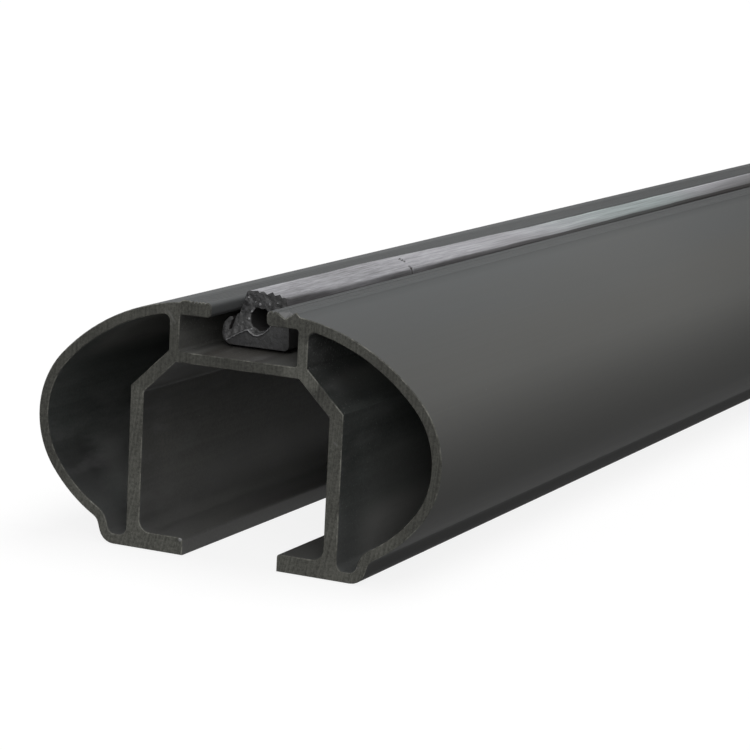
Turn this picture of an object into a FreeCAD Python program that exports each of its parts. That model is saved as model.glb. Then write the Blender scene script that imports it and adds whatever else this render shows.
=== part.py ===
import FreeCAD, Part
import math
import os

# A roof rack crossbar: one aluminium extrusion of wing section, open along its underside, with a
# rubber strip that fills the accessory slot along its top. X runs across the bar, Y along it and
# Z up from its feet. The origin is on the ground under the middle of the bar. Sizes are in
# millimetres. Each section is drawn in the plane y = 0, for the right-hand side where the bar is
# the same on both sides.

# Whole bar
BAR_LENGTH = 1200.0
BAR_WIDTH = 82.0
BAR_HEIGHT = 47.0
SHELL_WALL = 1.9

# Curved outside, from beside the slot round the nose and in to the foot
NOSE_RADIUS = 17.0
NOSE_CLEARANCE = 5.8
CROWN_RADIUS = 39.0
BELLY_RADIUS = 29.0
BELLY_START_DEGREES = 37.0

# Accessory slot along the top, with a lip on each side of its mouth
SLOT_WIDTH = 24.0
SLOT_MOUTH = 11.2
SLOT_DEPTH = 6.8
SLOT_WALL = 2.0
SLOT_FLOOR_WALL = 2.0
SLOT_CORNER_RADIUS = 0.5
LIP_THICKNESS = 2.7
LIP_NOSE_RADIUS = 0.9

# Flat lands on top of the lips, each with fine grip grooves and a slope down to the crown
LAND_WIDTH = 5.8
LAND_SLOPE_WIDTH = 0.8
LAND_SLOPE_DROP = 0.5
GRIP_GROOVES = 5
GRIP_PITCH = 0.72
GRIP_MARGIN = 1.28
GRIP_GROOVE_WIDTH = 0.5
GRIP_GROOVE_DEPTH = 0.26

# Channel up into the underside, between the webs and under the braces that carry the slot
CHANNEL_WIDTH = 37.8
CHANNEL_CEILING_WIDTH = 25.0
CHANNEL_CORNER_RADIUS = 0.6
BRACE_RISE = 6.2
BRACE_WALL = 2.5
WEB_WALL = 2.7
WEB_ROOT_RADIUS = 2.2

# Feet: flanges that turn in under the channel, and a toe that turns up into the belly
CHANNEL_MOUTH = 19.4
FLANGE_THICKNESS = 3.2
FLANGE_EDGE_RADIUS = 0.6
FOOT_WIDTH = 53.2
FOOT_LEAN_DEGREES = 17.0
TOE_RADIUS = 3.0
HEEL_RADIUS = 2.0

# Inside corners of the two closed chambers. The two in the foot's pocket leave a flat between them,
# so they are tighter where the foot is narrow.
CHAMBER_TOP_RADIUS = 1.3
POCKET_RADIUS = 1.5
POCKET_FLAT = 0.2

# Chip that the saw left in the right-hand land at the near end
CHIP_WIDTH = 3.6
CHIP_DEPTH = 1.2
CHIP_RUN = 2.0
CHIP_OFFSET = 3.7

# Rubber strip, pushed over against the left-hand lip
STRIP_SETBACK = 11.0
STRIP_SEAT_GAP = 0.5
STRIP_NECK_GAP = 0.15
STRIP_SIDE_GAP = 0.9
STRIP_RISE = 1.3
STRIP_FLANK = 0.8
STRIP_CROWN_FALL = 0.6
STRIP_CROWN_DOME = 0.45
STRIP_NECK_LEAN = 1.0
STRIP_NECK_FLARE = 0.35
STRIP_HOOK = 3.9
STRIP_SIDE_RADIUS = 0.7
STRIP_LEFT_RADIUS = 2.0
STRIP_RIGHT_RADIUS = 1.0

# Fin on the strip's left side, which curls in under the lip over a slanted slit
FIN_WALL = 0.7
FIN_SLIT = 0.5
FIN_LEAN = 1.6
FIN_DROP = 0.7
FIN_KNEE_DROP = 1.3
FIN_KNEE_LEAN = 0.5
FIN_KNEE_RADIUS = 0.8
FIN_SLIT_DEPTH = 2.4
FIN_SLIT_SLANT = 0.9
FIN_TIP_RADIUS = 0.3
SHOULDER_WIDTH = 0.8

# Hollow and ridges of the strip
STRIP_BORE_RADIUS = 2.2
STRIP_BORE_FLOOR = 3.0
STRIP_BORE_OFFSET = 4.0
RIDGE_COUNT = 8
RIDGE_DEPTH = 0.4
RIDGE_RADIUS = 0.12

# How far a cutting shape runs past the face that it opens
CUT_MARGIN = 2.0
PLACE_TOLERANCE = 0.01

# Places worked out from the sizes above
lip_underside = BAR_HEIGHT - LIP_THICKNESS
slot_floor = lip_underside - SLOT_DEPTH
ceiling = slot_floor - SLOT_FLOOR_WALL
brace_foot = ceiling - BRACE_RISE
web_outside = CHANNEL_WIDTH / 2 + WEB_WALL
slot_outside = SLOT_WIDTH / 2 + SLOT_WALL
land_edge = SLOT_MOUTH / 2 + LAND_WIDTH


def spot(x, z):
    """A point of a section."""
    return FreeCAD.Vector(x, 0.0, z)


def direction(degrees):
    """The unit vector that points so many degrees above the X axis."""
    return spot(math.cos(math.radians(degrees)), math.sin(math.radians(degrees)))


def unit(vector):
    """The vector's direction, with the vector itself left as it was."""
    return vector / vector.Length


def side(start, end):
    """A straight edge."""
    return Part.LineSegment(start, end).toShape()


def bend(centre, start, end):
    """The shorter arc about centre from start to end."""
    middle = centre + unit((start - centre) + (end - centre)) * (start - centre).Length
    return Part.Arc(start, middle, end).toShape()


def corner(before, here, after, radius):
    """Where a rounded corner starts, its centre and where it ends."""
    to_before = unit(before - here)
    to_after = unit(after - here)
    half_angle = to_before.getAngle(to_after) / 2
    reach = radius / math.tan(half_angle)
    centre = here + unit(to_before + to_after) * (radius / math.sin(half_angle))
    return here + to_before * reach, centre, here + to_after * reach


def rounded_face(corners):
    """A face inside straight sides, with each corner (x, z, radius) rounded."""
    points = [spot(x, z) for x, z, radius in corners]
    turns = []
    for index, (x, z, radius) in enumerate(corners):
        turns.append(corner(points[index - 1], points[index], points[(index + 1) % len(points)], radius))
    edges = []
    for index, (start, centre, end) in enumerate(turns):
        if corners[index][2] > 0:
            edges.append(bend(centre, start, end))
        edges.append(side(end, turns[(index + 1) % len(turns)][0]))
    return Part.Face(Part.Wire(edges))


def both_sides(corners):
    """The right-hand corners of a section, followed by their mirror images."""
    return corners + [(-x, z, radius) for x, z, radius in reversed(corners)]


def mirrored(shape):
    """The same shape on the other side of the bar."""
    return shape.mirror(spot(0, 0), spot(1, 0))


def along_bar(face, inset=0.0):
    """The face drawn out along the bar, stopping so far short of each end."""
    solid = face.extrude(FreeCAD.Vector(0, BAR_LENGTH - 2 * inset, 0))
    solid.translate(FreeCAD.Vector(0, inset - BAR_LENGTH / 2, 0))
    return solid


def runs_at(edge, place):
    """Whether an edge runs along the bar at a place of the section."""
    return all(math.hypot(end.X - place.x, end.Z - place.z) < PLACE_TOLERANCE for end in edge.Vertexes)


def round_along(solid, places, radius):
    """The solid with its lengthwise edges at these places rounded."""
    edges = [edge for edge in solid.Edges if any(runs_at(edge, place) for place in places)]
    return solid.makeFillet(radius, edges)


def lower_crossing(centre_a, radius_a, centre_b, radius_b):
    """The lower of the two points where two circles cross."""
    gap = centre_b - centre_a
    along = unit(gap)
    reach = (radius_a ** 2 - radius_b ** 2 + gap.Length ** 2) / (2 * gap.Length)
    across = spot(-along.z, along.x) * math.sqrt(radius_a ** 2 - reach ** 2)
    return min(centre_a + along * reach + across, centre_a + along * reach - across, key=lambda end: end.z)


# Centres of the outside's arcs, each tangent to the next
shoulder = spot(land_edge + LAND_SLOPE_WIDTH, BAR_HEIGHT - LAND_SLOPE_DROP)
nose_centre = spot(BAR_WIDTH / 2 - NOSE_RADIUS, NOSE_CLEARANCE + NOSE_RADIUS)
crown_centre = lower_crossing(nose_centre, CROWN_RADIUS - NOSE_RADIUS, shoulder, CROWN_RADIUS)
belly_centre = nose_centre - direction(-BELLY_START_DEGREES) * (BELLY_RADIUS - NOSE_RADIUS)

# The foot's outer side leans out as it rises to the heel, where it curves into the belly
toe = spot(FOOT_WIDTH / 2, 0)
foot_rise = direction(90 - FOOT_LEAN_DEGREES)
foot_outward = direction(-FOOT_LEAN_DEGREES)


def heel_centre():
    """The centre of the hollow curve between the foot's side and the belly, which lies outside."""
    start = toe + foot_outward * HEEL_RADIUS - belly_centre
    middle = start.dot(foot_rise)
    depth = math.sqrt(middle ** 2 - start.dot(start) + (BELLY_RADIUS + HEEL_RADIUS) ** 2)
    return belly_centre + start + foot_rise * (-middle - depth)


def crown_at(x, inset):
    """The point of the crown's arc above x, so far in from the outside."""
    height = math.sqrt((CROWN_RADIUS - inset) ** 2 - (x - crown_centre.x) ** 2)
    return spot(x, crown_centre.z + height)


def toe_corner(inset):
    """The corner between the foot's side and its underside, so far in from the outside."""
    start = toe - foot_outward * inset
    return start + foot_rise * ((inset - start.z) / foot_rise.z)


def pocket_radius():
    """The radius that the foot's pocket has room for in its two corners."""
    room = toe_corner(SHELL_WALL).x - web_outside - POCKET_FLAT
    toe_share = math.tan(math.radians(90 - FOOT_LEAN_DEGREES) / 2)
    return min(POCKET_RADIUS, room / (1 + toe_share))


def skin(start_x, inset, toe_radius):
    """The curved side's edges so far in from the outside, and their first and last points."""
    heel = heel_centre()
    top = crown_at(start_x, inset)
    nose_top = nose_centre + unit(nose_centre - crown_centre) * (NOSE_RADIUS - inset)
    nose_foot = nose_centre + direction(-BELLY_START_DEGREES) * (NOSE_RADIUS - inset)
    belly_end = belly_centre + unit(heel - belly_centre) * (BELLY_RADIUS - inset)
    heel_end = heel - foot_outward * (HEEL_RADIUS + inset)
    toe_start, toe_centre, toe_end = corner(heel_end, toe_corner(inset), spot(0, inset), toe_radius)
    edges = [
        bend(crown_centre, top, nose_top),
        bend(nose_centre, nose_top, nose_foot),
        bend(belly_centre, nose_foot, belly_end),
        bend(heel, belly_end, heel_end),
        side(heel_end, toe_start),
        bend(toe_centre, toe_start, toe_end),
    ]
    return edges, top, toe_end


def outside():
    """The bar's whole outside, as a solid with nothing hollowed out."""
    edges, top, bottom = skin(shoulder.x, 0.0, TOE_RADIUS)
    land_end = spot(land_edge, BAR_HEIGHT)
    edges += [side(spot(0, BAR_HEIGHT), land_end), side(land_end, top), side(bottom, spot(0, 0))]
    edges += [mirrored(edge) for edge in edges]
    return along_bar(Part.Face(Part.Wire(Part.sortEdges(edges)[0])))


def brace_outside(x):
    """The point above x on the outer side of the slanted brace."""
    foot = spot(CHANNEL_WIDTH / 2, brace_foot)
    head = spot(CHANNEL_CEILING_WIDTH / 2, ceiling)
    slope = unit(head - foot)
    start = foot + spot(slope.z, -slope.x) * BRACE_WALL
    return spot(x, start.z + (x - start.x) * slope.z / slope.x)


def chamber():
    """The closed hollow inside the right-hand nose."""
    edges, top, pocket_start = skin(slot_outside, SHELL_WALL, pocket_radius())
    pocket = spot(web_outside, SHELL_WALL)
    outline = [pocket_start, pocket, brace_outside(web_outside), brace_outside(slot_outside), top]
    edges += [side(start, end) for start, end in zip(outline, outline[1:])]
    hollow = along_bar(Part.Face(Part.Wire(edges)))
    hollow = round_along(hollow, [top], CHAMBER_TOP_RADIUS)
    return round_along(hollow, [pocket], pocket_radius())


def channel():
    """The hollow between the webs, with its mouth between the flanges."""
    return along_bar(rounded_face(both_sides([
        (CHANNEL_CEILING_WIDTH / 2, ceiling, CHANNEL_CORNER_RADIUS),
        (CHANNEL_WIDTH / 2, brace_foot, CHANNEL_CORNER_RADIUS),
        (CHANNEL_WIDTH / 2, FLANGE_THICKNESS, WEB_ROOT_RADIUS),
        (CHANNEL_MOUTH / 2, FLANGE_THICKNESS, FLANGE_EDGE_RADIUS),
        (CHANNEL_MOUTH / 2, -CUT_MARGIN, 0),
    ])))


def accessory_slot():
    """The hollow of the slot, with its mouth between the lips."""
    return along_bar(rounded_face(both_sides([
        (SLOT_MOUTH / 2, BAR_HEIGHT + CUT_MARGIN, 0),
        (SLOT_MOUTH / 2, lip_underside, LIP_NOSE_RADIUS),
        (SLOT_WIDTH / 2, lip_underside, SLOT_CORNER_RADIUS),
        (SLOT_WIDTH / 2, slot_floor, SLOT_CORNER_RADIUS),
    ])))


def vee(x, top, width, depth):
    """A face that cuts a groove of this width and depth into a flat top."""
    slope = depth / (width / 2)
    half_width = width / 2 + CUT_MARGIN / slope
    outline = [spot(x - half_width, top + CUT_MARGIN), spot(x, top - depth), spot(x + half_width, top + CUT_MARGIN)]
    return Part.Face(Part.makePolygon(outline + outline[:1]))


def grip_grooves():
    """The fine grooves along one land."""
    first = SLOT_MOUTH / 2 + GRIP_MARGIN
    places = [first + index * GRIP_PITCH for index in range(GRIP_GROOVES)]
    return [along_bar(vee(x, BAR_HEIGHT, GRIP_GROOVE_WIDTH, GRIP_GROOVE_DEPTH)) for x in places]


def saw_chip():
    """A notch in the near end of the right-hand land, which runs out to nothing along the bar."""
    notch = vee(SLOT_MOUTH / 2 + CHIP_OFFSET, BAR_HEIGHT, CHIP_WIDTH, CHIP_DEPTH)
    notch.translate(FreeCAD.Vector(0, -BAR_LENGTH / 2, 0))
    return notch.extrude(FreeCAD.Vector(0, CHIP_RUN, CHIP_DEPTH))


def crossbar_extrusion():
    """The aluminium bar, sawn square at both ends."""
    bar = outside().cut([chamber(), mirrored(chamber()), channel(), accessory_slot()])
    lip_tops = [spot(SLOT_MOUTH / 2, BAR_HEIGHT), spot(-SLOT_MOUTH / 2, BAR_HEIGHT)]
    bar = round_along(bar, lip_tops, LIP_NOSE_RADIUS)
    grooves = grip_grooves()
    return bar.cut(grooves + [mirrored(groove) for groove in grooves] + [saw_chip()])


# Places of the strip's section
neck_x = STRIP_NECK_GAP - SLOT_MOUTH / 2
strip_right = SLOT_MOUTH / 2 - STRIP_SIDE_GAP
strip_left = neck_x - STRIP_HOOK
strip_base = slot_floor + STRIP_SEAT_GAP
strip_shoulder = lip_underside - STRIP_SEAT_GAP
strip_top = BAR_HEIGHT + STRIP_RISE
fin_tip = strip_shoulder - FIN_DROP
fin_left = strip_left + FIN_LEAN
slit_left = fin_left + FIN_WALL
slit_right = slit_left + FIN_SLIT
slit_floor = fin_tip - FIN_SLIT_DEPTH
crown_left = neck_x + STRIP_NECK_LEAN
crown_right = strip_right - STRIP_FLANK


def crown_place(share, drop):
    """A place on the strip's crown, which is domed and leans down to the right."""
    x = crown_left + (crown_right - crown_left) * share
    return x, strip_top - STRIP_CROWN_FALL * (share - 0.5) - STRIP_CROWN_DOME * (2 * share - 1) ** 2 - drop


def ridges():
    """The crown's lengthwise ridges, with a valley before, between and after them."""
    corners = [(*crown_place(0, RIDGE_DEPTH), RIDGE_RADIUS)]
    for index in range(RIDGE_COUNT):
        corners.append((*crown_place((index + 0.5) / RIDGE_COUNT, 0), RIDGE_RADIUS))
        corners.append((*crown_place((index + 1) / RIDGE_COUNT, RIDGE_DEPTH), RIDGE_RADIUS))
    return corners


def strip_section():
    """The strip's outline: foot, fin, slit, shoulder, neck and ridged crown."""
    return rounded_face([
        (strip_left, strip_base, STRIP_LEFT_RADIUS),
        (strip_left + FIN_KNEE_LEAN, fin_tip - FIN_KNEE_DROP, FIN_KNEE_RADIUS),
        (fin_left, fin_tip, FIN_TIP_RADIUS),
        (slit_left, fin_tip, FIN_TIP_RADIUS),
        (slit_left - FIN_SLIT_SLANT, slit_floor, 0),
        (slit_right - FIN_SLIT_SLANT, slit_floor, 0),
        (slit_right, fin_tip, FIN_TIP_RADIUS),
        (neck_x - SHOULDER_WIDTH, strip_shoulder, FIN_TIP_RADIUS),
        (neck_x - STRIP_NECK_FLARE, strip_shoulder, 0),
        (neck_x, lip_underside + LIP_NOSE_RADIUS, 0),
        *ridges(),
        (strip_right, strip_shoulder, STRIP_SIDE_RADIUS),
        (strip_right, strip_base, STRIP_RIGHT_RADIUS),
    ])


def strip_bore():
    """The round hollow that lets the strip give under a bolt."""
    centre = spot(neck_x + STRIP_BORE_OFFSET, strip_base + STRIP_BORE_FLOOR + STRIP_BORE_RADIUS)
    return Part.Face(Part.Wire(Part.makeCircle(STRIP_BORE_RADIUS, centre, FreeCAD.Vector(0, 1, 0))))


def rubber_strip():
    """The rubber infill, which stops short of the bar's ends."""
    return along_bar(strip_section().cut(strip_bore()), STRIP_SETBACK)


def save(name, shape):
    """Writes one piece, after making sure that it is a single sound solid."""
    solid = shape.Solids[0]
    if len(shape.Solids) != 1 or not solid.isValid():
        raise ValueError(name + " is not one sound solid")
    solid.exportStep("parts/" + name + ".step")
    print(name, "volume", round(solid.Volume, 1), "box", solid.BoundBox)


def main():
    os.makedirs("parts", exist_ok=True)
    save("crossbar_extrusion", crossbar_extrusion())
    save("rubber_infill_strip", rubber_strip())


main()
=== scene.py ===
import math

import bpy
from mathutils import Matrix, Vector, geometry, noise


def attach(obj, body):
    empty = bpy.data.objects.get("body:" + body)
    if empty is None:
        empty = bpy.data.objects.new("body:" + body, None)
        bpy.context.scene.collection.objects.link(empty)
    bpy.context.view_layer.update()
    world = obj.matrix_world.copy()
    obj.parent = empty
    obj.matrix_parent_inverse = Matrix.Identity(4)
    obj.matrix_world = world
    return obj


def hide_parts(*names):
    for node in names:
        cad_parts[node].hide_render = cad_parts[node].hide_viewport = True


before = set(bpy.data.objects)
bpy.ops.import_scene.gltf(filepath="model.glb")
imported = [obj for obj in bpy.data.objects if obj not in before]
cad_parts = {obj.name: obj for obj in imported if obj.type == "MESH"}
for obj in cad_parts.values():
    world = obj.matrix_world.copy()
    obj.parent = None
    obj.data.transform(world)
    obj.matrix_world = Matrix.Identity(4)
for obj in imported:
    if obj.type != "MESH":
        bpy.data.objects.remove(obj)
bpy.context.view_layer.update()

# A roof rack crossbar on a white floor: the hollow aluminium extrusion with its sawn ends, and the
# rubber strip in its top slot, whose near end is torn. Section sizes are in millimetres, in the frame
# of the model: X across the bar, Y along it, Z up. Points become metres when a mesh is made.
MILLIMETRE = 0.001

# Whole bar
BAR_LENGTH = 1200.0
BAR_WIDTH = 82.0
BAR_HEIGHT = 47.0
SHELL_WALL = 1.9

# Curved outside
NOSE_RADIUS = 17.0
NOSE_CLEARANCE = 5.8
CROWN_RADIUS = 39.0
BELLY_RADIUS = 29.0
BELLY_START_DEGREES = 37.0

# Accessory slot and its lips
SLOT_WIDTH = 24.0
SLOT_MOUTH = 11.2
SLOT_DEPTH = 6.8
SLOT_WALL = 2.0
SLOT_FLOOR_WALL = 2.0
SLOT_CORNER_RADIUS = 0.5
LIP_THICKNESS = 2.7
LIP_NOSE_RADIUS = 0.9
LAND_WIDTH = 5.8
LAND_SLOPE_WIDTH = 0.8
LAND_SLOPE_DROP = 0.5
GRIP_GROOVES = 5
GRIP_PITCH = 0.72
GRIP_MARGIN = 1.28
GRIP_GROOVE_WIDTH = 0.5
GRIP_GROOVE_DEPTH = 0.26

# Channel, webs and feet
CHANNEL_WIDTH = 37.8
CHANNEL_CEILING_WIDTH = 25.0
CHANNEL_CORNER_RADIUS = 0.6
BRACE_RISE = 6.2
BRACE_WALL = 2.5
WEB_WALL = 2.7
WEB_ROOT_RADIUS = 2.2
CHANNEL_MOUTH = 19.4
FLANGE_THICKNESS = 3.2
FLANGE_EDGE_RADIUS = 0.6
FOOT_WIDTH = 53.2
FOOT_LEAN_DEGREES = 17.0
TOE_RADIUS = 3.0
HEEL_RADIUS = 2.0
CHAMBER_TOP_RADIUS = 1.3
POCKET_RADIUS = 1.5

# Chip in the near end of the right-hand land, with the burr beside it
CHIP_WIDTH = 3.6
CHIP_DEPTH = 1.2
CHIP_RUN = 2.0
CHIP_OFFSET = 3.7
BURR_OFFSET = 5.8
BURR_WIDTH = 0.9
BURR_HEIGHT = 0.32
BURR_RUN = 1.2

# Rubber strip
STRIP_SETBACK = 11.0
STRIP_SEAT_GAP = 0.5
STRIP_NECK_GAP = 0.15
STRIP_SIDE_GAP = 0.9
STRIP_RISE = 1.3
STRIP_FLANK = 0.8
STRIP_CROWN_FALL = 0.6
STRIP_CROWN_DOME = 0.45
STRIP_NECK_LEAN = 1.0
STRIP_NECK_FLARE = 0.35
STRIP_HOOK = 3.9
STRIP_SIDE_RADIUS = 0.7
STRIP_LEFT_RADIUS = 2.0
STRIP_RIGHT_RADIUS = 1.0
FIN_WALL = 0.7
FIN_SLIT = 0.5
FIN_LEAN = 1.6
FIN_DROP = 0.7
FIN_KNEE_DROP = 1.3
FIN_KNEE_LEAN = 0.5
FIN_KNEE_RADIUS = 0.8
FIN_SLIT_DEPTH = 2.4
FIN_SLIT_SLANT = 0.9
FIN_TIP_RADIUS = 0.3
SHOULDER_WIDTH = 0.8
STRIP_BORE_RADIUS = 2.2
STRIP_BORE_FLOOR = 3.0
STRIP_BORE_OFFSET = 4.0
RIDGE_COUNT = 8
RIDGE_DEPTH = 0.4
RIDGE_RADIUS = 0.12

# How finely curves are drawn, in degrees per point
SKIN_STEP = 3.0
CORNER_STEP = 15.0

# How finely ends are filled: how near points may come, as a share of the grid, and when they count as one
GRID_GAP = 0.45
SAME_PLACE = 1e-5

# Places worked out from the sizes above
lip_underside = BAR_HEIGHT - LIP_THICKNESS
slot_floor = lip_underside - SLOT_DEPTH
ceiling = slot_floor - SLOT_FLOOR_WALL
brace_foot = ceiling - BRACE_RISE
web_outside = CHANNEL_WIDTH / 2 + WEB_WALL
slot_outside = SLOT_WIDTH / 2 + SLOT_WALL
land_edge = SLOT_MOUTH / 2 + LAND_WIDTH


# Sections

def spot(x, z):
    """A point of a section."""
    return Vector((x, z))


def direction(degrees):
    """The unit vector that points so many degrees above the X axis."""
    return spot(math.cos(math.radians(degrees)), math.sin(math.radians(degrees)))


def bend(centre, start, end, step):
    """Points on the shorter arc about centre, both ends included."""
    first = math.atan2(start.y - centre.y, start.x - centre.x)
    last = math.atan2(end.y - centre.y, end.x - centre.x)
    sweep = (last - first + math.pi) % math.tau - math.pi
    count = max(1, math.ceil(abs(sweep) / math.radians(step)))
    radius = (start - centre).length
    angles = [first + sweep * index / count for index in range(count + 1)]
    return [centre + direction(math.degrees(angle)) * radius for angle in angles]


def corner(before, here, after, radius):
    """Where a rounded corner starts, its centre and where it ends."""
    to_before = (before - here).normalized()
    to_after = (after - here).normalized()
    half_angle = to_before.angle(to_after) / 2
    reach = radius / math.tan(half_angle)
    centre = here + (to_before + to_after).normalized() * (radius / math.sin(half_angle))
    return here + to_before * reach, centre, here + to_after * reach


def rounded(corners, closed=False):
    """The points of a path whose corners (x, z, radius) are rounded."""
    points = [spot(x, z) for x, z, radius in corners]
    path = []
    for index, (x, z, radius) in enumerate(corners):
        inner = closed or 0 < index < len(corners) - 1
        if radius > 0 and inner:
            turn = corner(points[index - 1], points[index], points[(index + 1) % len(points)], radius)
            path += bend(turn[1], turn[0], turn[2], CORNER_STEP)
        else:
            path.append(points[index])
    return path


def lower_crossing(centre_a, radius_a, centre_b, radius_b):
    """The lower of the two points where two circles cross."""
    gap = centre_b - centre_a
    along = gap.normalized()
    reach = (radius_a ** 2 - radius_b ** 2 + gap.length ** 2) / (2 * gap.length)
    across = spot(-along.y, along.x) * math.sqrt(radius_a ** 2 - reach ** 2)
    crossings = (centre_a + along * reach + across, centre_a + along * reach - across)
    return min(crossings, key=lambda end: end.y)


shoulder = spot(land_edge + LAND_SLOPE_WIDTH, BAR_HEIGHT - LAND_SLOPE_DROP)
nose_centre = spot(BAR_WIDTH / 2 - NOSE_RADIUS, NOSE_CLEARANCE + NOSE_RADIUS)
crown_centre = lower_crossing(nose_centre, CROWN_RADIUS - NOSE_RADIUS, shoulder, CROWN_RADIUS)
belly_centre = nose_centre - direction(-BELLY_START_DEGREES) * (BELLY_RADIUS - NOSE_RADIUS)
toe = spot(FOOT_WIDTH / 2, 0)
foot_rise = direction(90 - FOOT_LEAN_DEGREES)
foot_outward = direction(-FOOT_LEAN_DEGREES)


def heel_centre():
    """The centre of the hollow curve between the foot's side and the belly."""
    start = toe + foot_outward * HEEL_RADIUS - belly_centre
    middle = start.dot(foot_rise)
    depth = math.sqrt(middle ** 2 - start.dot(start) + (BELLY_RADIUS + HEEL_RADIUS) ** 2)
    return belly_centre + start + foot_rise * (-middle - depth)


def skin(top, inset, toe_radius):
    """The curved side's points, so far in from the outside, from its top to its toe."""
    heel = heel_centre()
    nose_top = nose_centre + (nose_centre - crown_centre).normalized() * (NOSE_RADIUS - inset)
    nose_foot = nose_centre + direction(-BELLY_START_DEGREES) * (NOSE_RADIUS - inset)
    belly_end = belly_centre + (heel - belly_centre).normalized() * (BELLY_RADIUS - inset)
    heel_end = heel - foot_outward * (HEEL_RADIUS + inset)
    toe_start = toe - foot_outward * inset
    toe_corner = toe_start + foot_rise * ((inset - toe_start.y) / foot_rise.y)
    turn = corner(heel_end, toe_corner, spot(0, inset), toe_radius)
    return (
        bend(crown_centre, top, nose_top, SKIN_STEP)
        + bend(nose_centre, nose_top, nose_foot, SKIN_STEP)[1:]
        + bend(belly_centre, nose_foot, belly_end, SKIN_STEP)[1:]
        + bend(heel, belly_end, heel_end, CORNER_STEP)[1:]
        + bend(turn[1], turn[0], turn[2], CORNER_STEP)
    )


def bar_outline():
    """The bar's outline with its slot and its channel, as one closed path."""
    slot_side = rounded([
        (0, slot_floor, 0),
        (SLOT_WIDTH / 2, slot_floor, SLOT_CORNER_RADIUS),
        (SLOT_WIDTH / 2, lip_underside, SLOT_CORNER_RADIUS),
        (SLOT_MOUTH / 2, lip_underside, LIP_NOSE_RADIUS),
        (SLOT_MOUTH / 2, BAR_HEIGHT, LIP_NOSE_RADIUS),
        (land_edge, BAR_HEIGHT, 0),
    ])
    grooves = []
    for index in range(GRIP_GROOVES):
        middle = SLOT_MOUTH / 2 + GRIP_MARGIN + index * GRIP_PITCH
        half = GRIP_GROOVE_WIDTH / 2
        grooves += [
            spot(middle - half, BAR_HEIGHT),
            spot(middle, BAR_HEIGHT - GRIP_GROOVE_DEPTH),
            spot(middle + half, BAR_HEIGHT),
        ]
    notch = SLOT_MOUTH / 2 + CHIP_OFFSET
    extra = [notch - CHIP_WIDTH / 2, notch, notch + CHIP_WIDTH / 2]
    extra += [SLOT_MOUTH / 2 + BURR_OFFSET + share * BURR_WIDTH for share in (-0.5, -0.25, 0)]
    grooves += [spot(x, BAR_HEIGHT) for x in extra if x < land_edge]
    grooves.sort(key=lambda end: end.x)
    curved = skin(shoulder, 0.0, TOE_RADIUS)
    channel_side = rounded([
        (CHANNEL_MOUTH / 2, 0, 0),
        (CHANNEL_MOUTH / 2, FLANGE_THICKNESS, FLANGE_EDGE_RADIUS),
        (CHANNEL_WIDTH / 2, FLANGE_THICKNESS, WEB_ROOT_RADIUS),
        (CHANNEL_WIDTH / 2, brace_foot, CHANNEL_CORNER_RADIUS),
        (CHANNEL_CEILING_WIDTH / 2, ceiling, CHANNEL_CORNER_RADIUS),
        (0, ceiling, 0),
    ])
    right = slot_side[:-1] + grooves + slot_side[-1:] + curved + channel_side
    left = [spot(-point.x, point.y) for point in reversed(right[1:-1])]
    return right + left


def chamber_outline():
    """The closed hollow inside the right-hand nose."""
    foot = spot(CHANNEL_WIDTH / 2, brace_foot)
    slope = (spot(CHANNEL_CEILING_WIDTH / 2, ceiling) - foot).normalized()
    start = foot + spot(slope.y, -slope.x) * BRACE_WALL

    def brace(x):
        return start.y + (x - start.x) * slope.y / slope.x

    inner = CROWN_RADIUS - SHELL_WALL
    turn_x = slot_outside + CHAMBER_TOP_RADIUS
    reach = inner - CHAMBER_TOP_RADIUS
    turn = spot(turn_x, crown_centre.y + math.sqrt(reach ** 2 - (turn_x - crown_centre.x) ** 2))
    wall_end = spot(slot_outside, turn.y)
    crown_start = crown_centre + (turn - crown_centre).normalized() * inner
    corners = rounded([
        (web_outside + POCKET_RADIUS * 2, SHELL_WALL, 0),
        (web_outside, SHELL_WALL, POCKET_RADIUS),
        (web_outside, brace(web_outside), 0),
    ])
    curved = skin(crown_start, SHELL_WALL, POCKET_RADIUS)
    top = bend(turn, wall_end, crown_start, CORNER_STEP)[:-1]
    return curved + corners[1:] + [spot(slot_outside, brace(slot_outside))] + top


def turned_left(loop):
    """The loop, ordered so that the hollow it bounds from outside lies to the left."""
    area = sum(a.x * b.y - b.x * a.y for a, b in zip(loop, loop[1:] + loop[:1]))
    return loop if area > 0 else loop[::-1]


def moved_in(loop, distances):
    """The loop, each point moved to its left by its own distance."""
    moved = []
    for index, here in enumerate(loop):
        before = (here - loop[index - 1]).normalized()
        after = (loop[(index + 1) % len(loop)] - here).normalized()
        side = spot(-before.y, before.x) + spot(-after.y, after.x)
        moved.append(here + side * (distances[index] * 2 / max(side.length_squared, 1.6)))
    return moved


# Meshes

def wobble(x, y, z, scale, seed=0.0):
    """A smooth value from -1 to 1 that changes over about the given distance."""
    return noise.noise(Vector((x / scale + seed, y / scale - seed, z / scale + 2 * seed)))


def ease(value, low, high):
    """0 below low, 1 above high and a smooth step between them."""
    share = min(1.0, max(0.0, (value - low) / (high - low)))
    return share * share * (3 - 2 * share)


def inside(point, bounds):
    """Whether a point lies within closed edges, and outside the ones that lie within those."""
    crossed = 0
    for start, end in bounds:
        if (start.y > point.y) != (end.y > point.y):
            crossed += point.x < start.x + (end.x - start.x) * (point.y - start.y) / (end.y - start.y)
    return crossed % 2 == 1


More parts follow.
